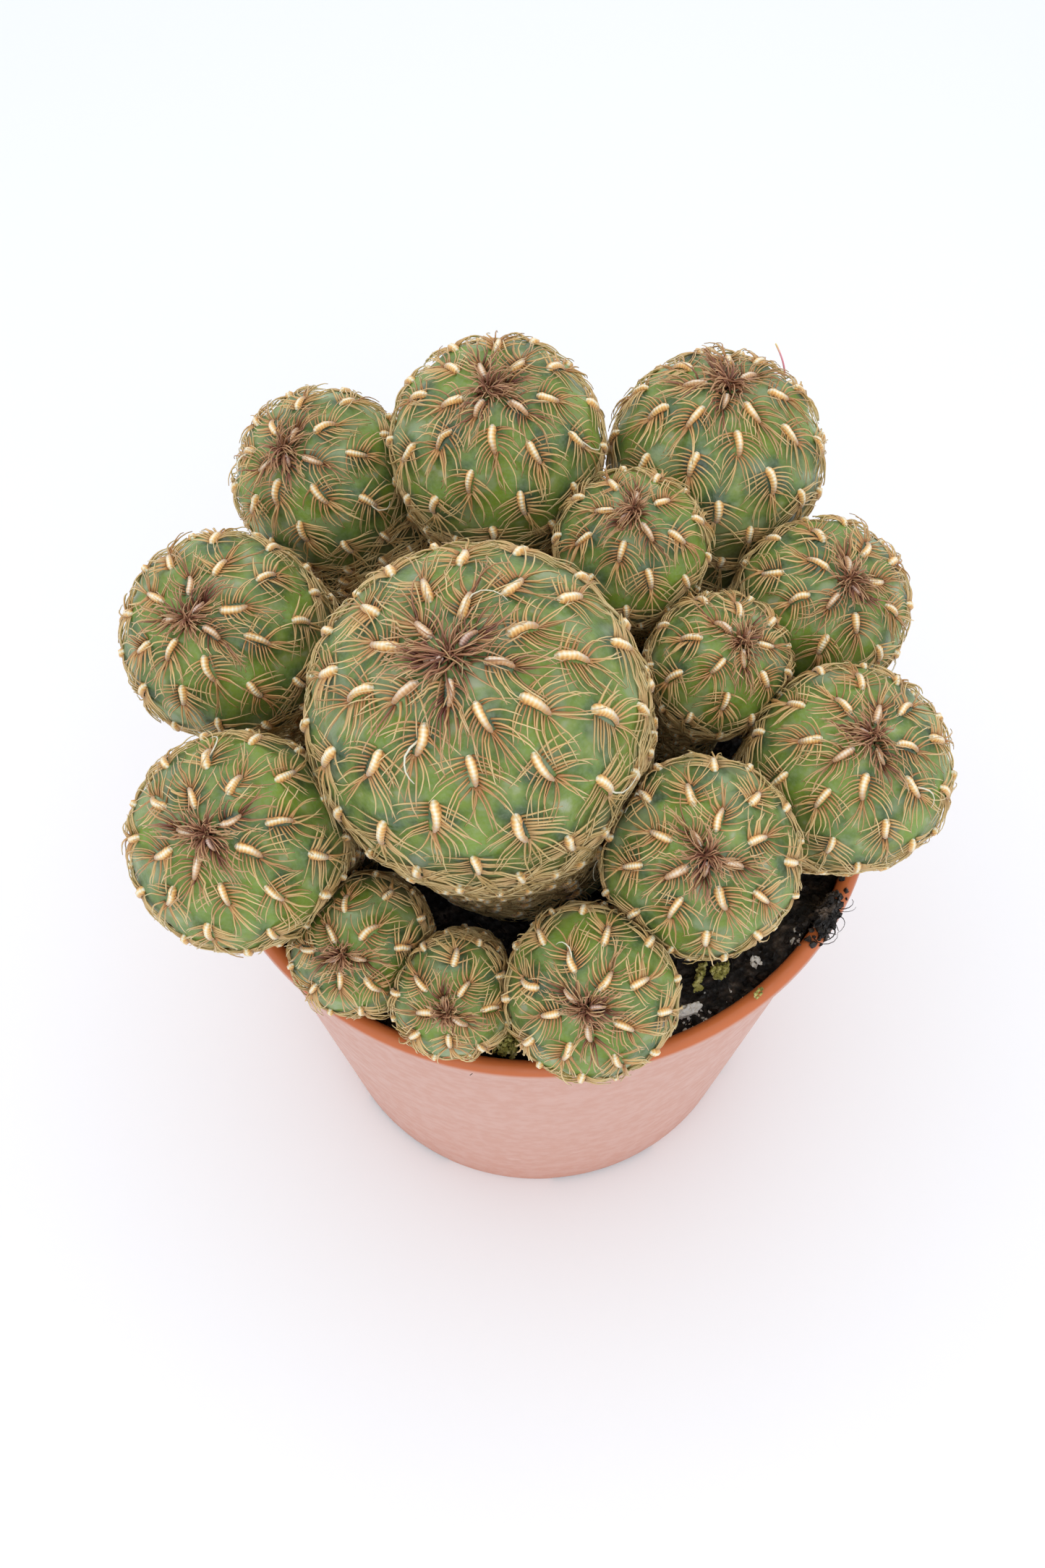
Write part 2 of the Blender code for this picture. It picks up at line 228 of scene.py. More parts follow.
class Finish:
    """A material in the making."""

    def __init__(self, name, roughness, **settings):
        self.material = bpy.data.materials.new(name)
        self.material.use_nodes = True
        self.tree = self.material.node_tree
        self.shader = self.tree.nodes["Principled BSDF"]
        self.shader.inputs["Roughness"].default_value = roughness
        for name, value in settings.items():
            self.shader.inputs[name.replace("_", " ")].default_value = value

    def node(self, kind, settings=None, values=None, output=0):
        """The output of a new node, once its settings are made and its sockets are filled."""
        made = self.tree.nodes.new("ShaderNode" + kind)
        for name, value in (settings or {}).items():
            if name == "stops":
                elements = made.color_ramp.elements
                elements.remove(elements[1])
                elements[0].position = value[0][0]
                elements[0].color = (*value[0][1], 1.0)
                for place, colour in value[1:]:
                    elements.new(place).color = (*colour, 1.0)
            else:
                setattr(made, name, value)
        for name, value in (values or {}).items():
            self.fill(made.inputs[name], value)
        return Wire(self, made.outputs[output])

    def fill(self, socket, value):
        if isinstance(value, Wire):
            self.tree.links.new(value.socket, socket)
        elif isinstance(value, tuple) and len(value) == 3 and socket.type == "RGBA":
            socket.default_value = (*value, 1.0)
        else:
            socket.default_value = value

    def put(self, name, value):
        self.fill(self.shader.inputs[name], value)

    def place(self):
        return self.node("TexCoord", output="Object")

    def grain(self, size, detail=2.0, place=None, stretch=None):
        """Noise whose blotches are this size."""
        place = place or self.place()
        if stretch:
            place = self.node("Mapping", {}, {"Vector": place, "Scale": stretch})
        values = {"Vector": place, "Scale": 1.0 / size, "Detail": detail}
        return self.node("TexNoise", {}, values)

    def cells(self, size):
        """Rounded grains of this size, lowest in the middle of each."""
        return self.node("TexVoronoi", {}, {"Vector": self.place(), "Scale": 1.0 / size})

    def part_of(self, vector, axis):
        return self.node("SeparateXYZ", {}, {0: vector}, axis)

    def distance(self, place, centre, sizes):
        """How far places are from a centre, counted in half sizes."""
        off = self.node("VectorMath", {"operation": "SUBTRACT"}, {0: place, 1: centre})
        off = self.node("VectorMath", {"operation": "DIVIDE"}, {0: off, 1: sizes})
        return self.node("VectorMath", {"operation": "LENGTH"}, {0: off}, 1)

    def fade(self, value, start, end, low=0.0, high=1.0):
        """low below start and high above end, and a smooth slope between them."""
        values = {"Value": value, "From Min": start, "From Max": end, "To Min": low, "To Max": high}
        return self.node("MapRange", {"interpolation_type": "SMOOTHSTEP"}, values)

    def mix(self, share, first, second):
        """The first colour where share is 0 and the second where it is 1."""
        return self.node("Mix", {"data_type": "RGBA"}, {0: share, 6: first, 7: second}, 2)

    def ramp(self, value, *stops):
        return self.node("ValToRGB", {"stops": stops}, {"Fac": value})

    def attribute(self, name):
        return self.node("Attribute", {"attribute_name": name}, output="Fac")

    def bump(self, height, depth, strength=1.0, under=None):
        values = {"Height": height, "Distance": depth, "Strength": strength}
        if under:
            values["Normal"] = under
        return self.node("Bump", {}, values)

    def along(self):
        """The two numbers of the strand map: along the strand, and across its bands."""
        uv = self.node("UVMap", {"uv_map": "OFBake"})
        made = self.tree.nodes.new("ShaderNodeSeparateXYZ")
        self.tree.links.new(uv.socket, made.inputs[0])
        return Wire(self, made.outputs[0]), Wire(self, made.outputs[1])


# ---------------------------------------------------------------- finishes


def skin_finish():
    """Waxy green skin, brown low down. It is darker round the felt ridges and paler in the grooves, partly
    its own tone and partly painted shade and painted sheen on the warts, with pale grey-green patches of
    painted sheen.
    """
    made = Finish("cactus skin", 0.40, Specular_IOR_Level=0.6, Sheen_Weight=0.05, Sheen_Roughness=0.45)
    ridge = made.attribute("ridge")
    age = made.attribute("age")
    place = made.node("Mapping", {}, {"Vector": made.place(), "Location": (3.1, 1.7, 0.4)})
    patch = made.grain(2.6 * MM, 3.0)
    wide = made.grain(9.0 * MM, 2.0)
    fine = made.grain(0.45 * MM, 3.0)
    # Darker round the felt ridges, paler in the grooves: partly the skin's own tone, partly painted shade
    # of the warts and painted sheen.
    shade = ridge + (patch - 0.5) * 0.74
    green = made.ramp(
        shade,
        (0.04, (0.036, 0.066, 0.036)),
        (0.20, (0.070, 0.130, 0.040)),
        (0.36, (0.140, 0.235, 0.042)),
        (0.50, (0.250, 0.345, 0.075)),
        (0.62, (0.430, 0.480, 0.300)),
    )
    lively = made.mix(made.fade(wide, 0.47, 0.60, 0.0, 0.70), green, (0.235, 0.365, 0.032))
    # Painted sheen: pale grey-green patches that stand in for the white surroundings reflected in the skin.
    sheen = made.grain(6.0 * MM, 3.0, place)
    with_painted_sheen = made.mix(made.fade(sheen, 0.55, 0.66, 0.0, 0.50), lively, (0.350, 0.430, 0.270))
    old = made.mix(made.fade(age, 1.20, 1.85, 0.0, 0.80), with_painted_sheen, (0.130, 0.118, 0.045))
    colour = made.mix(made.fade(fine, 0.35, 0.75, 0.0, 0.20), old, (0.36, 0.43, 0.28))
    made.put("Base Color", colour)
    made.put("Roughness", made.fade(patch, 0.35, 0.70, 0.30, 0.46))
    pores = made.bump(made.cells(0.22 * MM), 0.03 * MM, 0.55)
    made.put("Normal", made.bump(made.grain(1.3 * MM, 4.0), 0.22 * MM, 0.6, pores))
    return made.material


def felt_finish():
    """Cream wool, orange-brown at the edges, with fine ribs across. The near-white crest is partly painted
    highlight, and the dark brown edges and rib grooves partly painted shade.
    """
    made = Finish("areole felt", 0.85, Sheen_Weight=0.4, Sheen_Roughness=0.5)
    along, across = made.along()
    band = across * FELT_BANDS
    level = made.node("Math", {"operation": "FLOOR"}, {0: band})
    side = ((band - level) - 0.5) * 2.0
    edge = made.node("Math", {"operation": "ABSOLUTE"}, {0: side})
    ribs = made.node("Math", {"operation": "SINE"}, {0: along * 62.0})
    rib = ribs * 0.5 + 0.5
    # Whitest on the crest, darker to the edges and in the rib grooves: partly the felt's own colour, partly
    # painted highlight and painted shade.
    crest = edge + (1.0 - rib) * 0.16
    full = made.ramp(
        crest,
        (0.08, (1.00, 0.95, 0.80)),
        (0.28, (1.00, 0.80, 0.45)),
        (0.55, (0.92, 0.50, 0.14)),
        (0.85, (0.38, 0.16, 0.05)),
    )
    young = made.ramp(
        crest,
        (0.00, (0.95, 0.78, 0.68)),
        (0.45, (0.66, 0.38, 0.27)),
        (0.90, (0.20, 0.08, 0.05)),
    )
    share = made.fade(level, 0.0, 2.0, 1.0, 0.0)
    colour = made.mix(share, full, young)
    ends = made.fade(along, 0.40, 0.85, 0.0, 0.90)
    made.put("Base Color", made.mix(ends, colour, (0.52, 0.26, 0.10)))
    made.put("Normal", made.bump(rib, 0.07 * MM, 0.9))
    return made.material


def spine_finish():
    """Red-brown at the root, tan along the middle, straw at the tip."""
    made = Finish("spines", 0.36)
    along, tone = made.along()
    old = made.ramp(
        along,
        (0.00, (0.480, 0.230, 0.090)),
        (0.14, (0.680, 0.380, 0.140)),
        (0.50, (0.840, 0.580, 0.250)),
        (0.85, (0.900, 0.720, 0.400)),
        (1.00, (0.700, 0.460, 0.200)),
    )
    young = made.ramp(
        along,
        (0.00, (0.110, 0.032, 0.026)),
        (0.30, (0.230, 0.080, 0.048)),
        (0.65, (0.520, 0.260, 0.130)),
        (1.00, (0.780, 0.540, 0.300)),
    )
    level = made.node("Math", {"operation": "FLOOR"}, {0: tone * SPINE_BANDS})
    wave = made.node("Math", {"operation": "SINE"}, {0: level * 2.4})
    straw = made.mix(made.fade(wave, 0.2, 1.0, 0.0, 0.50), old, (0.700, 0.540, 0.250))
    old = made.mix(made.fade(wave, -1.0, -0.1, 0.65, 0.0), straw, (0.440, 0.200, 0.080))
    aged = made.mix(made.fade(tone, 0.02, 0.48, 1.0, 0.0), old, young)
    made.put("Base Color", made.mix(made.fade(tone, 0.93, 0.94), aged, (0.90, 0.86, 0.68)))
    return made.material


def plastic_finish():
    """Thin terracotta plastic: orange inside and on the lip, darkening down the inside as painted shade;
    pink with bands outside, where painted glow from the floor and painted grazing reflection pale the
    orange.
    """
    made = Finish("terracotta plastic", 0.42, Coat_Roughness=0.35)
    place = made.place()
    rise = made.part_of(place, 2)
    across = made.part_of(place, 0)
    deep = made.part_of(place, 1)
    reach = (across * across + deep * deep) ** 0.5
    share = rise / LIP_TOP
    low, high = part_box("pot")
    foot = wall_foot()
    lip_height = LIP_TOP - LIP_RADIUS
    slope = ((high.x - low.x) / 2.0 - LIP_RADIUS - foot) / lip_height
    skin = reach - (rise * slope + foot)
    bands = made.grain(1.0, 2.0, place, (6.0, 6.0, 230.0))
    clouds = made.grain(14.0 * MM, 3.0)
    # The outer wall: the plastic's orange paled by painted glow from the floor and painted grazing
    # reflection, and darker at the very foot.
    wall = made.ramp(
        share,
        (0.00, (0.58, 0.235, 0.150)),
        (0.040, (0.620, 0.300, 0.220)),
        (0.50, (0.640, 0.340, 0.262)),
        (1.00, (0.635, 0.328, 0.248)),
    )
    light = made.mix(made.fade(bands, 0.40, 0.72, 0.0, 0.30), wall, (0.71, 0.425, 0.345))
    cloudy = made.mix(made.fade(clouds, 0.45, 0.75, 0.0, 0.16), light, (0.60, 0.29, 0.205))
    dust = made.grain(1.7 * MM, 5.0)
    painted_glow_and_dust = made.mix(made.fade(dust, 0.60, 0.78, 0.0, 0.10), cloudy, (0.76, 0.58, 0.52))
    for centre, size, tint in SCUFFS:
        away = made.distance(place, centre, size)
        rubbed = made.fade(away + (dust - 0.5) * 1.6, 0.2, 1.0, 0.75, 0.0)
        painted_glow_and_dust = made.mix(rubbed, painted_glow_and_dust, tint)
    # The plastic's own orange inside and on the lip, darkening down the inside as painted shade.
    inner_orange_and_painted_shade = made.ramp(
        share,
        (0.90, (0.360, 0.080, 0.026)),
        (0.955, (0.520, 0.120, 0.034)),
        (1.00, (0.620, 0.165, 0.048)),
    )
    inside = made.fade(skin, -0.62 * MM, -0.35 * MM, 1.0, 0.0)
    crown = made.fade(rise, lip_height + 0.1 * MM, lip_height + 0.6 * MM)
    both = made.node("Math", {"operation": "MAXIMUM"}, {0: inside, 1: crown})
    painted_glow_and_dust = made.mix(both, painted_glow_and_dust, inner_orange_and_painted_shade)
    made.put("Base Color", painted_glow_and_dust)
    made.put("Roughness", made.fade(dust, 0.35, 0.70, 0.34, 0.55))
    made.put("Normal", made.bump(made.grain(0.8 * MM, 4.0), 0.05 * MM, 0.35))
    return made.material


def peat_finish():
    made = Finish("moist peat", 0.72)
    crumbs = made.cells(0.9 * MM)
    tint = made.grain(1.6 * MM, 4.0)
    colour = made.ramp(
        tint,
        (0.30, (0.004, 0.003, 0.003)),
        (0.48, (0.014, 0.011, 0.010)),
        (0.60, (0.050, 0.037, 0.029)),
        (0.72, (0.150, 0.112, 0.085)),
    )
    made.put("Base Color", colour)
    made.put("Roughness", made.fade(made.grain(0.5 * MM, 2.0), 0.45, 0.70, 0.80, 0.30))
    made.put("Normal", made.bump(crumbs + made.grain(0.4 * MM, 3.0) * 0.5, 0.35 * MM, 1.0))
    return made.material


def moss_finish():
    made = Finish("moss", 0.8)
    tint = made.grain(0.9 * MM, 3.0)
    colour = made.ramp(
        tint,
        (0.30, (0.110, 0.105, 0.025)),
        (0.44, (0.360, 0.340, 0.070)),
        (0.58, (0.600, 0.560, 0.190)),
        (0.75, (0.80, 0.74, 0.42)),
    )
    made.put("Base Color", colour)
    made.put("Normal", made.bump(made.grain(0.3 * MM, 3.0), 0.15 * MM, 0.8))
    return made.material


def scrap_finish():
    made = Finish("pale scraps", 0.8)
    lines = made.grain(0.5 * MM, 4.0, None, (1.0, 0.25, 1.0))
    colour = made.ramp(
        lines,
        (0.26, (0.50, 0.45, 0.38)),
        (0.42, (0.86, 0.82, 0.75)),
        (0.60, (1.00, 0.99, 0.96)),
    )
    made.put("Base Color", colour)
    made.put("Normal", made.bump(lines, 0.12 * MM, 0.8))
    return made.material


def root_finish():
    made = Finish("root hairs", 0.65)
    along, tone = made.along()
    dark = made.ramp(along, (0.0, (0.012, 0.009, 0.007)), (1.0, (0.030, 0.020, 0.014)))
    made.put("Base Color", made.mix(made.fade(tone, 0.80, 0.99), dark, (0.22, 0.13, 0.07)))
    return made.material


def thread_finish():
    """A pink filament that turns yellow at its tip."""
    made = Finish("flower thread", 0.55)
    height = made.part_of(made.place(), 2)
    low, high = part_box("flower_thread")
    rise = (height - low.z) / (high.z - low.z)
    colour = made.ramp(
        rise,
        (0.00, (0.70, 0.16, 0.24)),
        (0.65, (0.90, 0.38, 0.46)),
        (0.90, (0.90, 0.62, 0.30)),
        (1.00, (0.93, 0.80, 0.35)),
    )
    made.put("Base Color", colour)
    made.put("Normal", made.bump(made.grain(0.15 * MM, 2.0), 0.03 * MM, 0.6))
    return made.material


def floor_finish():
    made = Finish("pale floor", 0.9, Specular_IOR_Level=0.1)
    tint = made.grain(0.25, 3.0)
    pale = made.ramp(tint, (0.3, (0.94, 0.955, 0.98)), (0.7, (0.965, 0.98, 1.0)))
    # Painted light: the floor is paler round the pot, where the pot's shade falls, and darker farther out,
    # where the lamps light it more.
    away = made.distance(made.place(), Vector((0.0, 0.0, 0.0)), Vector((1.0, 1.0, 1.0)))
    far = made.fade(away, 0.07, 0.26, 0.0, 1.0)
    made.put("Base Color", made.mix(far, pale, (0.855, 0.875, 0.905)))
    return made.material


# ---------------------------------------------------------------- making pieces


def only(obj):
    """Leaves this object as the one that is selected and active."""
    bpy.ops.object.select_all(action="DESELECT")
    obj.select_set(True)
    bpy.context.view_layer.objects.active = obj
    return obj


def add(kind, name, **settings):
    """Adds a primitive of this kind, all of it selected and open for editing."""
    bpy.ops.object.select_all(action="DESELECT")
    getattr(bpy.ops.mesh, f"primitive_{kind}_add")(**settings)
    obj = bpy.context.object
    obj.name = name
    obj.data.name = name
    edit_all(obj)
    return obj


def edit_all(obj):
    """Opens an object for editing, with all of it selected."""
    only(obj)
    bpy.ops.object.mode_set(mode="EDIT")
    bpy.ops.mesh.select_all(action="SELECT")


def leave_edit():
    bpy.ops.object.mode_set(mode="OBJECT")


def copy_of(node, name):
    """A copy of a CAD node's mesh, with its doubled corners merged."""
    obj = bpy.data.objects.new(name, frame["nodes"][node].data.copy())
    bpy.context.scene.collection.objects.link(obj)
    edit_all(obj)
    bpy.ops.mesh.remove_doubles(threshold=0.002 * MM)
    bpy.ops.mesh.normals_make_consistent(inside=False)
    leave_edit()
    return obj


def finish_piece(obj, material, replaced, smooth):
    """Gives a piece its finish, faces it outwards and hangs it on the frame. Edges flatter than
    smooth degrees are shaded smooth."""
    only(obj)
    bpy.ops.object.transform_apply(location=True, rotation=True, scale=True)
    edit_all(obj)
    bpy.ops.mesh.normals_make_consistent(inside=False)
    leave_edit()
    bpy.ops.object.shade_smooth_by_angle(angle=math.radians(smooth))
    obj.data.materials.clear()
    obj.data.materials.append(material)
    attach(obj, "root")
    if replaced:
        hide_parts(*replaced)
    return obj


def apply_modifier(obj, kind, **settings):
    only(obj)
    made = obj.modifiers.new(kind.lower(), kind)
    for name, value in settings.items():
        setattr(made, name, value)
    bpy.ops.object.modifier_apply(modifier=made.name)


def new_piece(name, points, faces):
    mesh = bpy.data.meshes.new(name)
    mesh.from_pydata(points, [], faces)
    obj = bpy.data.objects.new(name, mesh)
    bpy.context.scene.collection.objects.link(obj)
    return obj


def coordinates(obj, kind="co"):
    """The places of an object's corners, or with kind "normal" the way each one faces."""
    found = np.empty(len(obj.data.vertices) * 3)
    obj.data.vertices.foreach_get(kind, found)
    return found.reshape(-1, 3)


def place_vertices(obj, points):
    obj.data.vertices.foreach_set("co", np.asarray(points, float).ravel())
    obj.data.update()


def tree_of(*objs):
    """A search tree over the faces of these objects."""
    points = []
    faces = []
    for obj in objs:
        start = len(points)
        points.extend(tuple(vert.co) for vert in obj.data.vertices)
        faces.extend([start + i for i in face.vertices] for face in obj.data.polygons)
    return BVHTree.FromPolygons(points, faces)


def pattern_of(obj):
    """The points and faces of a shape that is about to be repeated. The shape is removed."""
    points = coordinates(obj)
    faces = [tuple(face.vertices) for face in obj.data.polygons]
    bpy.data.objects.remove(obj)
    return SimpleNamespace(points=points, faces=faces)


def copies_of(name, pattern, placed):
    """One piece made of copies of a pattern. placed holds each copy's points."""
    copies, size = placed.shape[:2]
    faces = [tuple(i + size * k for i in face) for k in range(copies) for face in pattern.faces]
    return new_piece(name, placed.reshape(-1, 3).tolist(), faces)


def strands_of(name, pattern, placed, across, bands):
    """Copies of a pattern with a map that runs along each one, for finishes that read it.

    across is each pattern point's place over its strand, from 0 to 1, and bands each copy's
    band on the strand map, as (band, number of bands)."""
    obj = copies_of(name, pattern, placed)
    corners = np.array([i for face in pattern.faces for i in face])
    u = pattern.points[corners, 2]
    v = across[corners]
    level, count = bands
    uv = np.empty((len(placed), len(corners), 2))
    uv[:, :, 0] = 0.02 + 0.96 * (u - u.min()) / (u.max() - u.min())
    uv[:, :, 1] = (level[:, None] + 0.1 + 0.8 * v[None]) / count
    layer = obj.data.uv_layers.new(name="OFBake")
    layer.uv.foreach_set("vector", uv.ravel())
    return obj


# ---------------------------------------------------------------- repeated shapes

def strand_pattern():
    """A three-sided tapering strand along Z, from 0 to 1, cut into levels."""
    middle = (0.0, 0.0, 0.5)
    obj = add("cone", "strand", vertices=3, radius1=1.0, radius2=0.38, depth=1.0, location=middle)
    for level in range(1, STRAND_LEVELS):
        bpy.ops.mesh.select_all(action="SELECT")
        cut = (0.0, 0.0, level / STRAND_LEVELS - 0.5)
        bpy.ops.mesh.bisect(plane_co=Vector(cut) + obj.location, plane_no=(0.0, 0.0, 1.0))
    leave_edit()
    bpy.ops.object.transform_apply(location=True)
    return pattern_of(obj)


def strand_sides(pattern):
    """Each strand point's place over the strand: one of its three edges at 0, the others at 1."""
    return np.where(np.arange(len(pattern.points)) % 3 == 0, 0.0, 1.0)


def ridge_pattern():
    """A felt ridge lying along Z, from -1 to 1: round above, flat below, pinched into ribs."""
    obj = add("uv_sphere", "ridge", segments=6, ring_count=RIDGE_RINGS, radius=1.0)
    leave_edit()
    points = coordinates(obj)
    heights = np.unique(np.round(points[:, 2], 5))
    ring = np.searchsorted(heights, np.round(points[:, 2], 5))
    pinch = np.where(ring % 2 == 1, 1.0, 0.91)
    fuller = np.clip(1.0 / np.maximum(np.hypot(points[:, 0], points[:, 1]), 0.35), 1.0, 1.35)
    taper = 1.0 - 0.60 * np.clip(0.5 + 0.5 * points[:, 2], 0.0, 1.0) ** 1.2
    points[:, :2] *= (pinch * fuller * taper)[:, None]
    points[:, 0] = np.where(points[:, 0] < 0.0, 0.3 * points[:, 0], points[:, 0])
    place_vertices(obj, points)
    return pattern_of(obj)


def bent(pattern, stations, middles, normals, sizes):
    """Copies of a pattern bent along lines. middles and normals are (copies, stations, 3);
    sizes is (copies, 2): the half width and the height of each copy."""
    along = np.gradient(middles, axis=1)
    along /= np.maximum(np.linalg.norm(along, axis=2, keepdims=True), 1e-12)
    aside = np.cross(normals, along)
    aside /= np.maximum(np.linalg.norm(aside, axis=2, keepdims=True), 1e-12)
    rise = np.cross(along, aside)
    level = np.abs(pattern.points[:, 2][:, None] - stations[None]).argmin(axis=1)
    x = pattern.points[:, 0][None, :, None] * sizes[:, 1][:, None, None]
    y = pattern.points[:, 1][None, :, None] * sizes[:, 0][:, None, None]
    return middles[:, level] + rise[:, level] * x + aside[:, level] * y


# ---------------------------------------------------------------- heads


def fitted_sphere(points, tip):
    """The centre and radius of the round crown under this tip."""
    near = np.argsort(np.linalg.norm(points - tip, axis=1))[: int(0.4 * len(points))]
    chosen = points[near]
    for _ in range(8):
        terms = np.hstack([2.0 * chosen, np.ones((len(chosen), 1))])
        found = np.linalg.lstsq(terms, (chosen**2).sum(axis=1), rcond=None)[0]
        centre = found[:3]
        radius = math.sqrt(found[3] + centre @ centre)
        off = np.abs(np.linalg.norm(points - centre, axis=1) - radius)
        chosen = points[off < max(0.02 * MM, np.sort(off)[len(points) // 5])]
    return centre, radius


class Head:
    """One cactus head, read from its CAD node."""

    def __init__(self, node, number):
        self.node = node
        self.start_turn = SPIRAL_STEP * number
        self.hand = 1 if number % 2 else -1
        self.body = copy_of(node, node + "_skin")
        self.read_poles()
        self.full_spacing = ORDINARY_GAP * (self.radius / ORDINARY_HEAD) ** GAP_GROWTH
        self.smooth_body()

    def read_poles(self):
        """The tip and the root are the two points where the most triangles meet."""
        mesh = self.body.data
        points = coordinates(self.body)
        meeting = np.zeros(len(points), int)
        for face in mesh.polygons:
            for index in face.vertices:
                meeting[index] += 1
        first, second = np.argsort(meeting)[-2:]
        top, foot = sorted((first, second), key=lambda index: -points[index, 2])
        centre, self.radius = fitted_sphere(points, points[top])
        self.centre = Vector(centre)
        self.foot = Vector(points[foot])
        self.tip_way = (Vector(points[top]) - self.centre).normalized()
        self.stem_length = (self.centre - self.foot).length

    def smooth_body(self):
        edit_all(self.body)
        bpy.ops.mesh.tris_convert_to_quads()
        leave_edit()
        apply_modifier(self.body, "SUBSURF", levels=3, render_levels=3)
        self.tree = tree_of(self.body)

    def middle(self, share):
        """A point on the stem's middle line, from 0 at the root to 1 in the swelling."""
        reach = self.stem_length / 3.0
        rest = 1.0 - share
        a = self.foot + UP * reach
        b = self.centre - self.tip_way * reach
        line = self.foot * rest**3 + a * (3.0 * rest**2 * share)
        return line + b * (3.0 * rest * share**2) + self.centre * share**3

    def ray(self, down, turn):
        """Where the skin is, this far down from the tip along it, at this turn round it."""
        quarter = self.radius * math.pi / 2.0
        lean = min(down / self.radius, math.pi / 2.0)
        share = max(1.0 - max(down - quarter, 0.0) / self.stem_length, 0.0)
        way = UP.lerp(self.tip_way, share).normalized()
        side = self.tip_way.cross(Vector((0.0, 1.0, 0.0))).normalized()
        first = (side - way * side.dot(way)).normalized()
        around = first * math.cos(turn) + way.cross(first) * math.sin(turn)
        start = self.middle(share)
        heading = way * math.cos(lean) + around * math.sin(lean)
        found, normal, _, away = self.tree.ray_cast(start, heading)
        return (found, normal, away) if found else (start + heading * self.radius, heading, self.radius)

    def spot(self, down, turn, ahead):
        """The skin at a place, the way it faces, and the way down the head along it."""
        place, normal, _ = self.ray(down, turn)
        run = self.ray(down + ahead, turn)[0] - place
        return place, normal, (run - normal * run.dot(normal)).normalized()

    def ring_radius(self, down):
        lean = min(down / self.radius, math.pi / 2.0)
        if lean < math.pi / 2.0:
            return self.radius * math.sin(lean)
        turns = np.linspace(0.0, math.tau, 8, endpoint=False)
        return float(np.mean([self.ray(down, turn)[2] for turn in turns]))

    def spacing(self, down):
        """How far apart the felt ridges are, this far down from the tip."""
        opened = CROWDED_TIP + (1.0 - CROWDED_TIP) * eased(down / (OPEN_FROM * self.radius))
        low = clipped((down / self.radius - FLANK_FROM) / FLANK_LENGTH)
        return self.full_spacing * opened * (1.0 - (1.0 - FLANK_CROWDING) * low)

    def lay_areoles(self):
        """Ridges in a spiral from the tip down, each a golden turn on from the last."""
        end = self.radius * math.pi / 2.0 + RIDGED_STEM * self.stem_length
        downs = np.linspace(0.02 * self.radius, end, SPIRAL_SAMPLES)
        per_length = [
            math.tau * max(self.ring_radius(down), 0.2 * MM) / (HONEYCOMB * self.spacing(down) ** 2)
            for down in downs
        ]
        count = np.concatenate([[0.0], np.cumsum(np.diff(downs) * np.array(per_length[1:]))])
        self.areoles = []
        for index in range(int(count[-1])):
            down = float(np.interp(index + FIRST_RIDGE, count, downs))
            turn = self.start_turn + self.hand * GOLDEN_TURN * index
            place, normal, run = self.spot(down, turn, 0.4 * MM)
            areole = SimpleNamespace(place=place, normal=normal, run=run, down=down)
            areole.age = down / self.radius
            areole.spacing = self.spacing(down)
            self.areoles.append(areole)

    def raise_warts(self, strangers):
        """Swells the skin under each ridge, and keeps what the skin's finish reads."""
        points = coordinates(self.body)
        normals = coordinates(self.body, "normal")
        places = np.array([tuple(areole.place) for areole in self.areoles])
        runs = np.array([tuple(areole.run) for areole in self.areoles])
        spacing = np.array([areole.spacing for areole in self.areoles])
        apart = np.full(len(points), 9.0)
        best = np.zeros(len(points), int)
        for index in range(len(places)):
            off = points - places[index]
            along = off @ runs[index]
            distance = np.sqrt(np.maximum((off**2).sum(axis=1) - 0.35 * along**2, 0.0))
            share = distance / spacing[index]
            closer = share < apart
            apart = np.where(closer, share, apart)
            best = np.where(closer, index, best)
        swell = 1.0 - eased(apart / WART_REACH)
        room = np.array([strangers.find_nearest(point)[3] for point in points.tolist()])
        free = clipped((room - 0.25 * MM) / (1.2 * MM))
        wobble = np.array([noise.noise(Vector(point) / WOBBLE_SIZE) for point in points])
        lift = WART_HEIGHT * spacing[best] * (swell - 0.25) + WOBBLE_HEIGHT * wobble
        place_vertices(self.body, points + normals * (lift * free)[:, None])
        centre = np.array(tuple(self.centre))
        axis = np.array(tuple(self.tip_way))
        off = points - centre
        up = off @ axis
        out = np.linalg.norm(off, axis=1)
        crown = np.arccos(np.clip(up / out, -1.0, 1.0))
        age = np.where(up > 0.0, crown, math.pi / 2.0 - up / self.radius)
        for name, values in (("ridge", apart), ("age", age)):
            kept = self.body.data.attributes.new(name, "FLOAT", "POINT")
            kept.data.foreach_set("value", values.astype(np.float32))
        self.tree = tree_of(self.body)

    def draped(self, pattern, stations, places, heights, sizes, strangers):
        """Copies of a pattern bent along lines of places, each this high over the skin there.

        Where a neighbour is close the height shrinks, so that nothing runs into it."""
        places = np.array(places)
        found = np.empty_like(places)
        normals = np.empty_like(places)
        for index, place in enumerate(places.tolist()):
            hit, normal, _, _ = self.tree.find_nearest(place)
            point = hit + normal * heights[index]
            room = strangers.find_nearest(point)[3]
            if room < TIGHT_ROOM:
                point = hit + normal * (heights[index] * max(room / TIGHT_ROOM, 0.15))
            found[index] = point
            normals[index] = normal
        shape = (len(sizes), len(stations), 3)
        return bent(pattern, stations, found.reshape(shape), normals.reshape(shape), np.array(sizes))


def sway(dice, degrees):
    """A random angle up to this many degrees either way."""
    return math.radians(dice.uniform(-degrees, degrees))


def areole_size(head, areole):
    """The length, width and height of a felt ridge: small near the tip, full, then shorter."""
    length = RIDGE_LENGTH + RIDGE_LENGTH_GROWTH * head.radius
    width = RIDGE_WIDTH + RIDGE_WIDTH_GROWTH * head.radius
    grown = YOUNG_RIDGE + (1.0 - YOUNG_RIDGE) * eased(areole.down / (0.40 * head.radius))
    fading = 1.0 - 0.45 * clipped((areole.age - 1.15) / 0.6)
    return length * grown * fading, width * (0.50 + 0.50 * grown), 0.60 * width


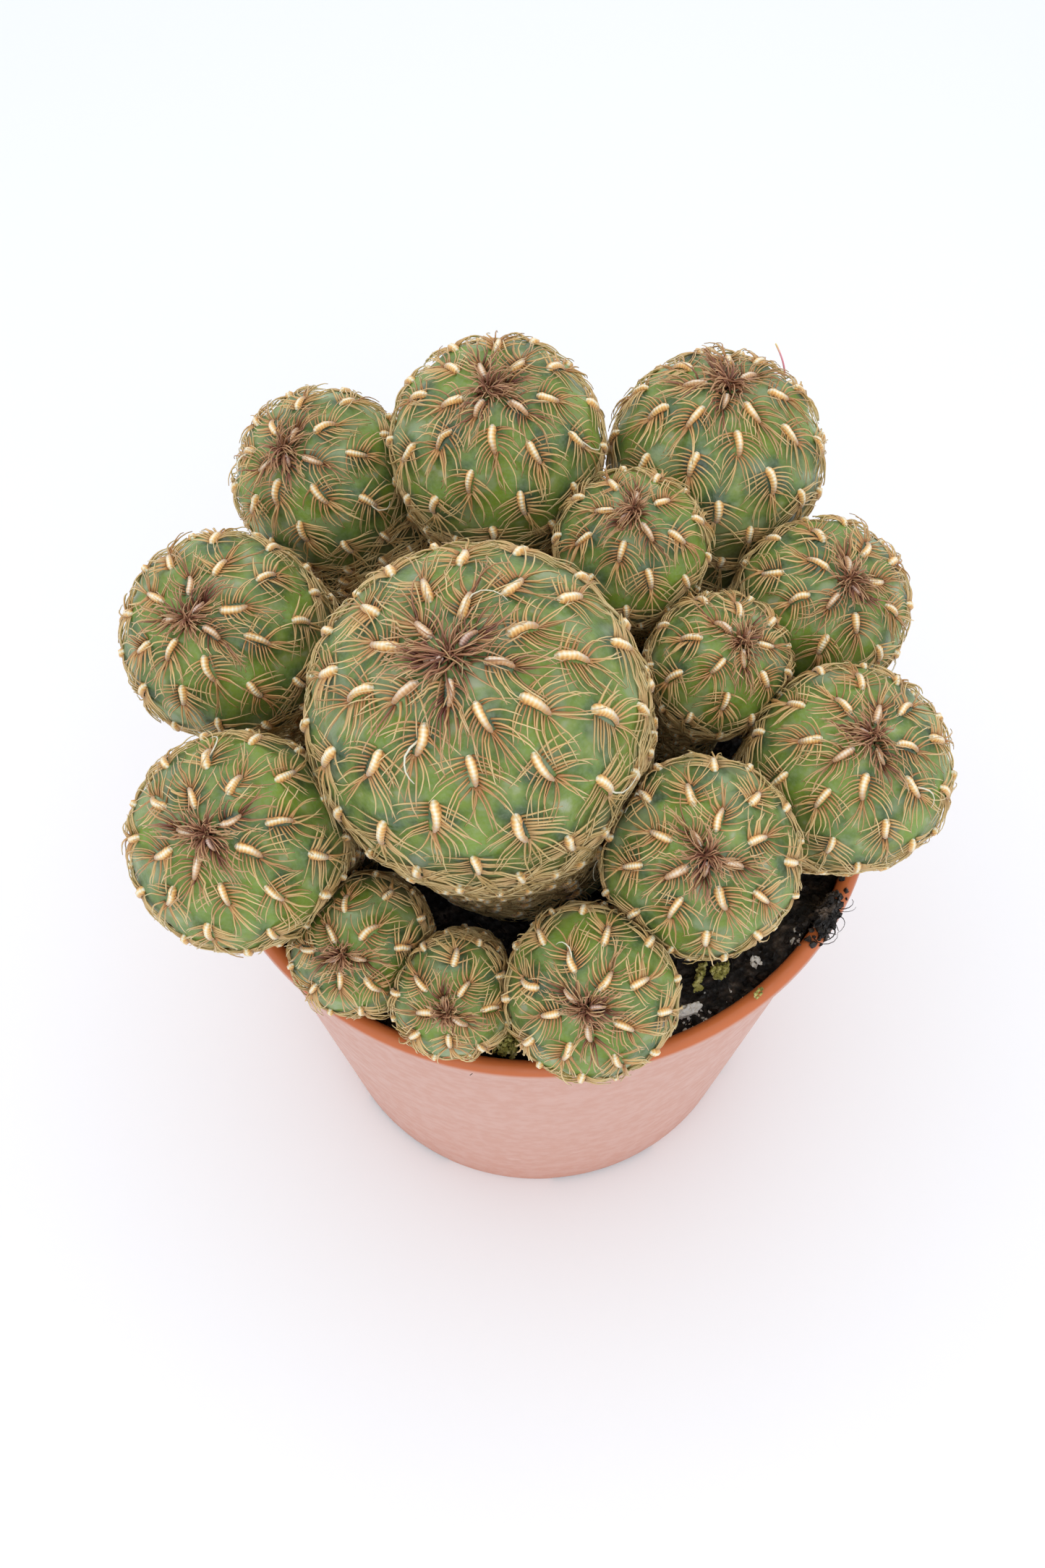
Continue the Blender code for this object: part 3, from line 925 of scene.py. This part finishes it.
def make_felt(head, pattern, strangers, seed):
    """The felt ridges of a head, each bent over the skin and a little out of true."""
    stations = np.unique(np.round(pattern.points[:, 2], 5))
    places = []
    heights = []
    sizes = []
    bands = []
    dice = np.random.default_rng(seed)
    for areole in head.areoles:
        length, width, height = areole_size(head, areole)
        length *= dice.uniform(0.90, 1.18)
        width *= dice.uniform(1.02, 1.32)
        aside = areole.normal.cross(areole.run) * dice.uniform(-0.22, 0.22)
        for station in stations:
            bow = aside * (1.0 - station * station)
            places.append(tuple(areole.place + (areole.run * station + bow) * (length / 2.0)))
            heights.append(0.22 * MM * (1.0 - station * station) - 0.02 * MM)
        sizes.append((width / 2.0, height))
        bands.append(0 if areole.age < 0.16 else 1 if areole.age < 0.34 else FELT_BANDS - 1)
    placed = head.draped(pattern, stations, places, heights, sizes, strangers)
    across = 0.5 + 0.5 * pattern.points[:, 1] / np.abs(pattern.points[:, 1]).max()
    return strands_of(head.node + "_felt", pattern, placed, across, (np.array(bands), FELT_BANDS))


def comb_of(head, areole, dice):
    """The spines of one ridge: (start along, start aside, heading, curl, length, lift, tone).

    Near the tip they stand up and point outwards; low on the flanks they lie flat, side by side."""
    length, width, _ = areole_size(head, areole)
    young = max(1.0 - areole.age / 0.45, 0.0)
    flank = clipped((areole.age - 0.95) / 0.45)
    reach = SPINE_REACH + SPINE_REACH_GROWTH * head.radius
    reach *= (0.74 + 0.26 * (1.0 - young)) * (1.0 + 0.20 * flank)
    lift = (0.80 + 0.80 * young - 0.45 * flank) * MM
    teeth = (9 if head.radius > NINE_TEETH_FROM else 8) - round(flank)
    spines = []
    for side in (-1.0, 1.0):
        lean = dice.uniform(-10.0, 10.0)
        for tooth in range(teeth):
            share = (tooth + 0.5) / teeth
            heading = 2.0 + (44.0 - 26.0 * flank) * share + 26.0 * young + lean + dice.uniform(-9, 9)
            curl = (dice.uniform(16, 58) + 10.0 * share) * (1.0 - 0.55 * flank)
            if dice.random() < LOST_SPINES:
                continue
            spines.append(
                (
                    (share - 0.5) * 0.94 * length,
                    side * 0.30 * width,
                    side * (math.pi / 2.0 - math.radians(heading)),
                    -side * math.radians(curl),
                    reach * dice.uniform(0.74, 1.16) * (0.78 + 0.32 * share),
                    lift * dice.uniform(0.4, 1.45),
                    areole.age * 0.95 + dice.uniform(-0.14, 0.26),
                )
            )
    for _ in range(TAIL_SPINES):
        spines.append(
            (
                0.42 * length,
                dice.uniform(-0.25, 0.25) * width,
                sway(dice, 28),
                sway(dice, 40),
                reach * dice.uniform(0.90, 1.35),
                1.15 * lift * dice.uniform(0.5, 1.5),
                areole.age * 0.80 + dice.uniform(-0.12, 0.22),
            )
        )
    return spines


def tip_tuft(head, dice):
    """The dark spines that crowd together and stand up at the growing tip."""
    spread = 0.13 * head.radius
    made = []
    for _ in range(TIP_SPINES):
        down = spread * dice.uniform(0.02, 1.0)
        turn = dice.uniform(0.0, math.tau)
        place, normal, run = head.spot(down, turn, 0.5 * MM)
        inward = math.pi if dice.random() < 0.25 else 0.0
        spine = (
            0.0,
            0.0,
            inward + sway(dice, 34),
            sway(dice, 34),
            dice.uniform(0.10, 0.29) * head.radius,
            dice.uniform(0.8, 2.3) * MM * (1.25 - down / spread),
            dice.uniform(0.0, 0.14) + 0.16 * down / spread,
        )
        made.append((place, normal, run, spine))
    return made


def stray_hairs(head, dice):
    """A few long pale spines that have come loose and curl over the others."""
    made = []
    for _ in range(max(int(head.radius / (5.0 * MM)), 1)):
        areole = head.areoles[int(dice.integers(6, max(len(head.areoles) // 2, 8)))]
        turn = sway(dice, 60)
        curl = math.radians(dice.uniform(60, 130) * dice.choice([-1.0, 1.0]))
        reach = dice.uniform(0.24, 0.34) * head.radius
        spine = (0.0, 0.0, turn, curl, reach, 1.3 * MM, STRAY_TONE)
        made.append((areole.place, areole.normal, areole.run, spine))
    return made


def make_spines(head, pattern, strangers, seed):
    """All the spines of a head, each arched over the skin from its root."""
    dice = np.random.default_rng(seed)
    steps = np.linspace(0.0, 1.0, STRAND_LEVELS + 1)
    arch = np.sin(0.70 * math.pi * steps**0.8)
    planted = []
    for areole in head.areoles:
        for spine in comb_of(head, areole, dice):
            planted.append((areole.place, areole.normal, areole.run, spine))
    planted += tip_tuft(head, dice) + stray_hairs(head, dice)
    places = []
    heights = []
    tones = []
    sizes = []
    for place, normal, run, (along, across, heading, curl, reach, lift, tone) in planted:
        aside = normal.cross(run)
        start = place + run * along + aside * across
        turns = heading + curl * steps
        forward = np.concatenate([[0.0], np.cumsum(np.cos(turns[:-1]))]) / STRAND_LEVELS
        sideways = np.concatenate([[0.0], np.cumsum(np.sin(turns[:-1]))]) / STRAND_LEVELS
        for ahead, beside in zip(forward, sideways):
            places.append(tuple(start + (run * float(ahead) + aside * float(beside)) * reach))
        heights.extend(0.10 * MM + lift * arch)
        band = int(np.clip(tone, 0.0, 0.92) * SPINE_BANDS)
        tones.append(SPINE_BANDS - 1 if tone == STRAY_TONE else band)
        thick = SPINE_RADIUS * (0.72 + 0.28 * head.radius / THICK_SPINES_AT) * dice.uniform(0.8, 1.15)
        sizes.append((thick, thick))
    placed = head.draped(pattern, steps, places, heights, sizes, strangers)
    bands = (np.array(tones), SPINE_BANDS)
    return strands_of(head.node + "_spines", pattern, placed, strand_sides(pattern), bands)


def head_nodes():
    """The names of the heads, in the record's order, the mother head first."""
    rows = frame["record"]["subparts"]
    return [row["node"] for row in rows if row["material_slot"] == "cactus_skin"]


def make_heads():
    skin = skin_finish()
    felt = felt_finish()
    spine = spine_finish()
    strand = strand_pattern()
    ridge = ridge_pattern()
    nodes = head_nodes()
    others = [frame["nodes"][name] for name in (*nodes, "pot", "soil")]
    for number, node in enumerate(nodes):
        head = Head(node, number)
        strangers = tree_of(*[obj for obj in others if obj.name != node])
        head.lay_areoles()
        head.raise_warts(strangers)
        ridges = make_felt(head, ridge, strangers, number + 101)
        spines = make_spines(head, strand, strangers, number + 1)
        finish_piece(head.body, skin, (node,), 180.0)
        finish_piece(ridges, felt, (), 80.0)
        finish_piece(spines, spine, (), 180.0)


# ---------------------------------------------------------------- pot


def ring_to(radius_now, radius, rise):
    """Draws a new ring from the selected one, up by rise and out or in to a new radius."""
    bpy.ops.mesh.extrude_region_move(TRANSFORM_OT_translate={"value": (0.0, 0.0, rise)})
    share = radius / radius_now
    bpy.ops.transform.resize(value=(share, share, 1.0), center_override=(0.0, 0.0, 0.0))


def pot_outline(foot, lip_x, lip_z):
    """The turned outline of the pot: up the outside, round the lip and down the inside."""
    outline = [(foot - BOTTOM_ROUNDING, 0.0)]
    for step in range(1, 5):
        angle = math.radians(90.0 * step / 4)
        out = BOTTOM_ROUNDING * math.sin(angle)
        outline.append((foot - BOTTOM_ROUNDING + out, BOTTOM_ROUNDING * (1.0 - math.cos(angle))))
    for step in range(1, 12):
        share = step / 12
        height = BOTTOM_ROUNDING + (lip_z - BOTTOM_ROUNDING) * share
        outline.append((foot + (lip_x - foot) * share, height))
    for step in range(15):
        angle = math.radians(-72.0 + 292.0 * step / 14)
        outline.append((lip_x + LIP_RADIUS * math.cos(angle), lip_z + LIP_RADIUS * math.sin(angle)))
    for step in range(8, -1, -1):
        share = step / 9
        height = FLOOR_THICKNESS + (lip_z - FLOOR_THICKNESS) * share
        outline.append((foot - WALL + (lip_x - foot) * share, height))
    return outline


def make_pot():
    low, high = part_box("pot")
    foot = wall_foot()
    outline = pot_outline(foot, (high.x - low.x) / 2.0 - LIP_RADIUS, high.z - LIP_RADIUS)
    radius, height = outline[0]
    obj = add("circle", "nursery_pot", vertices=POT_SIDES, radius=radius)
    bpy.ops.mesh.edge_face_add()
    for next_radius, next_height in outline[1:]:
        ring_to(radius, next_radius, next_height - height)
        radius, height = next_radius, next_height
    leave_edit()
    for cutter in (drain_cutter(), notch_cutter(foot)):
        apply_modifier(obj, "BOOLEAN", operation="DIFFERENCE", solver="EXACT", object=cutter)
        bpy.data.objects.remove(cutter)
    return finish_piece(obj, plastic_finish(), ("pot",), 35.0)


def wall_foot():
    """The outer radius of the pot's wall low down, from its CAD node."""
    points = coordinates(frame["nodes"]["pot"])
    reach = np.hypot(points[:, 0], points[:, 1])
    return float(reach[points[:, 2] < 1.0 * MM].max())


def drain_cutter():
    """A rod for each of the drain holes, in a ring."""
    obj = add("cylinder", "drain_cutter", vertices=32, radius=DRAIN_RADIUS, depth=8.0 * MM)
    turn = math.radians(NOTCH_BEARING)
    place = (DRAIN_CIRCLE * math.cos(turn), DRAIN_CIRCLE * math.sin(turn), 0.0)
    bpy.ops.transform.translate(value=place)
    bpy.ops.mesh.spin(dupli=True, steps=FEET, angle=math.tau, center=(0, 0, 0), axis=(0, 0, 1))
    bpy.ops.mesh.select_all(action="SELECT")
    bpy.ops.mesh.remove_doubles(threshold=0.001 * MM)
    leave_edit()
    return obj


def notch_cutter(foot):
    """Curved blocks that lift the outer bottom edge between the pot's feet."""
    inner, outer = foot - NOTCH_DEPTH, foot + NOTCH_DEPTH
    corners = ((inner, -NOTCH_HEIGHT), (outer, -NOTCH_HEIGHT), (outer, NOTCH_HEIGHT), (inner, NOTCH_HEIGHT))
    points = []
    faces = []
    for part in range(FEET):
        start = len(points)
        first = math.radians(NOTCH_BEARING + 360.0 / FEET * part - NOTCH_ANGLE / 2.0)
        for step in range(NOTCH_STEPS + 1):
            turn = first + math.radians(NOTCH_ANGLE) * step / NOTCH_STEPS
            points.extend((r * math.cos(turn), r * math.sin(turn), z) for r, z in corners)
        for step in range(NOTCH_STEPS):
            here = start + 4 * step
            for side in range(4):
                near, far = here + side, here + (side + 1) % 4
                faces.append((near, far, far + 4, near + 4))
        last = start + 4 * NOTCH_STEPS
        faces.append((start + 3, start + 2, start + 1, start))
        faces.append((last, last + 1, last + 2, last + 3))
    obj = new_piece("notch_cutter", points, faces)
    edit_all(obj)
    bpy.ops.mesh.normals_make_consistent(inside=False)
    leave_edit()
    return obj


# ---------------------------------------------------------------- soil and what lies on it


def soil_swell(x, y):
    """How far the soil's top stands over its even level: clods, and the mound by the rim."""
    clods = noise.fractal(Vector((x, y, 0.0)) * 260.0, 0.8, 2.1, 4) * 0.75 * MM
    coarse = noise.noise(Vector((x, y, 3.0 * MM)) * 90.0) * 0.9 * MM
    away = math.hypot(x - MOUND_PLACE.x, y - MOUND_PLACE.y) / MOUND_SPREAD
    return clods + coarse + MOUND_HEIGHT * math.exp(-away * away)


def make_soil(finish):
    """The bed of peat: rings drawn in from the edge, swollen into clods."""
    low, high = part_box("soil")
    radius = (high.x - low.x) / 2.0 + 0.12 * MM
    points = coordinates(frame["nodes"]["soil"])
    bottom = np.hypot(points[:, 0], points[:, 1])[points[:, 2] < low.z + 1.0 * MM].max()
    obj = add("circle", "peat", vertices=SOIL_SIDES, radius=bottom, location=(0.0, 0.0, low.z))
    bpy.ops.mesh.edge_face_add()
    ring_to(bottom, radius, high.z - SOIL_STEP - low.z)
    for _ in range(int(radius / SOIL_STEP) - 3):
        bpy.ops.mesh.inset(thickness=SOIL_STEP, depth=0.0)
    leave_edit()
    placed = coordinates(obj)
    for point in placed:
        if point[2] > (low.z + high.z) / 2.0:
            point[2] += soil_swell(point[0], point[1])
    place_vertices(obj, placed)
    return finish_piece(obj, finish, ("soil",), 180.0)


def open_spots(count, dice, ground, heads, radius, keep_out):
    """Random places on the soil's top that no head covers, with the height there."""
    spots = []
    while len(spots) < count:
        turn = dice.uniform(0.0, math.tau)
        reach = radius * math.sqrt(dice.uniform(0.0, 1.0))
        hit = dropped(reach * math.cos(turn), reach * math.sin(turn), ground)
        if hit is None or heads.find_nearest(hit)[3] < keep_out:
            continue
        above = heads.ray_cast(hit, UP)
        if above[0] is not None and above[1].z > 0.0:
            continue
        spots.append(hit)
    return spots


def dropped(x, y, ground):
    """Where something that is let fall at this place comes to lie."""
    return ground.ray_cast(Vector((x, y, 0.09)), -UP)[0]


def near_spots(count, dice, ground, centre, spread, highest=math.inf):
    """Random places scattered round a centre, thickest in the middle and not above a height."""
    spots = []
    for _ in range(count):
        off = dice.normal(0.0, 0.5 * spread, 2)
        hit = dropped(centre.x + off[0], centre.y + off[1], ground)
        if hit is not None and hit.z < highest:
            spots.append(hit)
    return spots


def lump_spots(node, count, dice, gaps):
    """Random places over a small CAD lump, fewer of them where the noise leaves gaps."""
    low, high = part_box(node)
    lump = tree_of(frame["nodes"][node])
    spots = []
    while len(spots) < count:
        x, y = dice.uniform(low.x, high.x), dice.uniform(low.y, high.y)
        hit = dropped(x, y, lump)
        if hit is None or noise.noise(hit * 620.0) < gaps:
            continue
        hit.z = low.z + dice.uniform(0.25, 1.0) * (hit.z - low.z)
        spots.append(hit)
    return spots


def crumb_pattern():
    """A ball of twenty faces, which each crumb pulls out of shape."""
    obj = add("ico_sphere", "crumb", subdivisions=1, radius=1.0)
    leave_edit()
    return pattern_of(obj)


def make_grit(name, pattern, spots, sizes, dice, finish, replaced=()):
    """Crumbs whose sizes in millimetres lie between these two."""
    sizes = dice.uniform(*sizes, len(spots)) * MM
    make_crumbs(name, pattern, spots, sizes, dice, finish, replaced)


def make_crumbs(name, pattern, spots, sizes, dice, finish, replaced=()):
    """Small rough crumbs, each pulled about at random, sitting half sunk in these spots."""
    count = len(spots)
    shape = pattern.points[None] * dice.uniform(0.55, 1.45, (count, len(pattern.points), 1))
    stretch = dice.uniform(0.6, 1.5, (count, 1, 3))
    turn = dice.uniform(0.0, math.tau, count)
    cos, sin = np.cos(turn)[:, None], np.sin(turn)[:, None]
    shape *= stretch
    x = shape[:, :, 0] * cos - shape[:, :, 1] * sin
    y = shape[:, :, 0] * sin + shape[:, :, 1] * cos
    placed = np.stack([x, y, shape[:, :, 2]], axis=2) * sizes[:, None, None]
    placed += np.array([tuple(spot) for spot in spots])[:, None]
    placed[:, :, 2] += (0.35 * sizes)[:, None]
    finish_piece(copies_of(name, pattern, placed), finish, replaced, 50.0)


def make_fibres(name, pattern, starts, dice, lengths, rise, finish, bands, outward=False):
    """Curly fibres that start in these spots and lie or stand in the air over them."""
    steps = np.linspace(0.0, 1.0, STRAND_LEVELS + 1)
    middles = []
    for start in starts:
        turn = dice.uniform(0.0, math.tau)
        if outward:
            turn = math.atan2(start.y, start.x) + dice.uniform(-1.0, 1.0)
        curl = dice.uniform(-3.4, 3.4)
        length = dice.uniform(*lengths) * MM
        lift = dice.uniform(*rise)
        point = np.array(tuple(start))
        line = []
        for step in steps:
            line.append(point.copy())
            way = turn + curl * step
            climb = lift * math.cos(math.pi * step)
            point += np.array([math.cos(way), math.sin(way), climb]) * (length / STRAND_LEVELS)
        middles.append(line)
    middles = np.array(middles)
    normals = np.broadcast_to(np.array([0.02, 0.03, 1.0]), middles.shape)
    thick = dice.uniform(0.05, 0.15, (len(starts), 1)) * MM
    placed = bent(pattern, steps, middles, normals, np.repeat(thick, 2, axis=1))
    across = strand_sides(pattern)
    tones = (dice.choice(bands, len(starts)), SPINE_BANDS)
    obj = strands_of(name, pattern, placed, across, tones)
    finish_piece(obj, finish, (), 180.0)


def make_lump(node, name, finish, roughness, size):
    """A finer, rougher copy of a small CAD lump, which it stands for."""
    obj = copy_of(node, name)
    apply_modifier(obj, "SUBSURF", levels=3, render_levels=3)
    points = coordinates(obj)
    normals = coordinates(obj, "normal")
    rough = np.array([noise.fractal(Vector(point) / size, 0.7, 2.0, 3) for point in points])
    place_vertices(obj, points + normals * (roughness * rough)[:, None])
    finish_piece(obj, finish, (node,), 50.0)


def make_ground(pot):
    """The peat, its crumbs and fibres, the moss and the pale scraps."""
    dice = np.random.default_rng(77)
    peat = peat_finish()
    moss = moss_finish()
    scrap = scrap_finish()
    hairs = root_finish()
    crumb = crumb_pattern()
    strand = strand_pattern()
    soil = make_soil(peat)
    heads = tree_of(*[frame["nodes"][name] for name in head_nodes()])
    ground = tree_of(soil, pot)
    low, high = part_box("soil")
    radius = (high.x - low.x) / 2.0
    spots = open_spots(2600, dice, ground, heads, radius - 0.3 * MM, 0.4 * MM)
    sizes = 0.18 * MM + 0.75 * MM * dice.random(len(spots)) ** 2.8
    make_crumbs("peat_crumbs", crumb, spots, sizes, dice, peat)
    spots = near_spots(260, dice, ground, RIM_PEAT_PLACE, 3.6 * MM)
    make_grit("rim_peat", crumb, spots, (0.12, 0.42), dice, peat)
    spots = lump_spots("peat_crumb_on_rim", 330, dice, -0.4)
    make_grit("rim_clod", crumb, spots, (0.10, 0.34), dice, peat, ("peat_crumb_on_rim",))
    for node, (count, size, gaps) in MOSS.items():
        spots = lump_spots(node, count, dice, gaps)
        sizes = size * MM * dice.uniform(0.45, 1.15, len(spots))
        make_crumbs(node + "_leaves", crumb, spots, sizes, dice, moss, (node,))
    spots = open_spots(60, dice, ground, heads, radius - 1.0 * MM, 0.6 * MM)
    make_grit("loose_moss", crumb, spots, (0.10, 0.32), dice, moss)
    make_lump("bark_chip", "bark", scrap, 0.22 * MM, 0.6 * MM)
    spots = lump_spots("perlite_grain", 26, dice, -0.3)
    make_grit("perlite", crumb, spots, (0.10, 0.30), dice, scrap, ("perlite_grain",))
    spots = []
    for centre, spread, count in PALE_BITS:
        spots += near_spots(count, dice, ground, centre, spread, LIP_TOP - 1.6 * MM)
    make_grit("pale_bits", crumb, spots, (0.08, 0.26), dice, scrap)
    starts = open_spots(170, dice, ground, heads, radius - 1.5 * MM, 1.2 * MM)
    make_fibres("peat_fibres", strand, starts, dice, (2.5, 7.0), (0.0, 0.6), hairs, SOIL_FIBRES)
    starts = near_spots(26, dice, ground, RIM_PEAT_PLACE, 2.6 * MM)
    make_fibres("root_hairs", strand, starts, dice, (2.0, 4.4), (0.1, 0.9), hairs, DARK_FIBRES, True)
    make_lump("flower_thread", "pink_filament", thread_finish(), 0.0, MM)


# ---------------------------------------------------------------- stage


def make_stage():
    under = (0.0, 0.0, cad_low.z - 0.02 * MM)
    floor = add("plane", "pale_floor", size=FLOOR_WIDTH, location=under)
    leave_edit()
    floor.data.materials.append(floor_finish())
    world = bpy.data.worlds.new("soft daylight")
    world.use_nodes = True
    sky = world.node_tree.nodes["Background"]
    sky.inputs["Color"].default_value = (*SKY_COLOUR, 1.0)
    sky.inputs["Strength"].default_value = SKY_STRENGTH
    bpy.context.scene.world = world
    for name, place, size, power in LIGHTS:
        light = bpy.data.lights.new(name, "AREA")
        light.size = size
        light.energy = power
        lamp = bpy.data.objects.new(name, light)
        lamp.location = place
        aim = LIGHT_AIM - lamp.location
        lamp.rotation_euler = aim.to_track_quat("-Z", "Y").to_euler()
        bpy.context.scene.collection.objects.link(lamp)
    camera = bpy.data.cameras.new("camera")
    camera.lens = CAMERA_LENS
    camera.clip_start = 0.01
    viewer = bpy.data.objects.new("camera", camera)
    viewer.location = CAMERA_PLACE
    viewer.rotation_euler = (math.radians(CAMERA_TILT), 0.0, 0.0)
    bpy.context.scene.collection.objects.link(viewer)
    bpy.context.scene.camera = viewer
    bpy.context.scene.view_settings.view_transform = "Standard"


make_stage()
make_ground(make_pot())
make_heads()
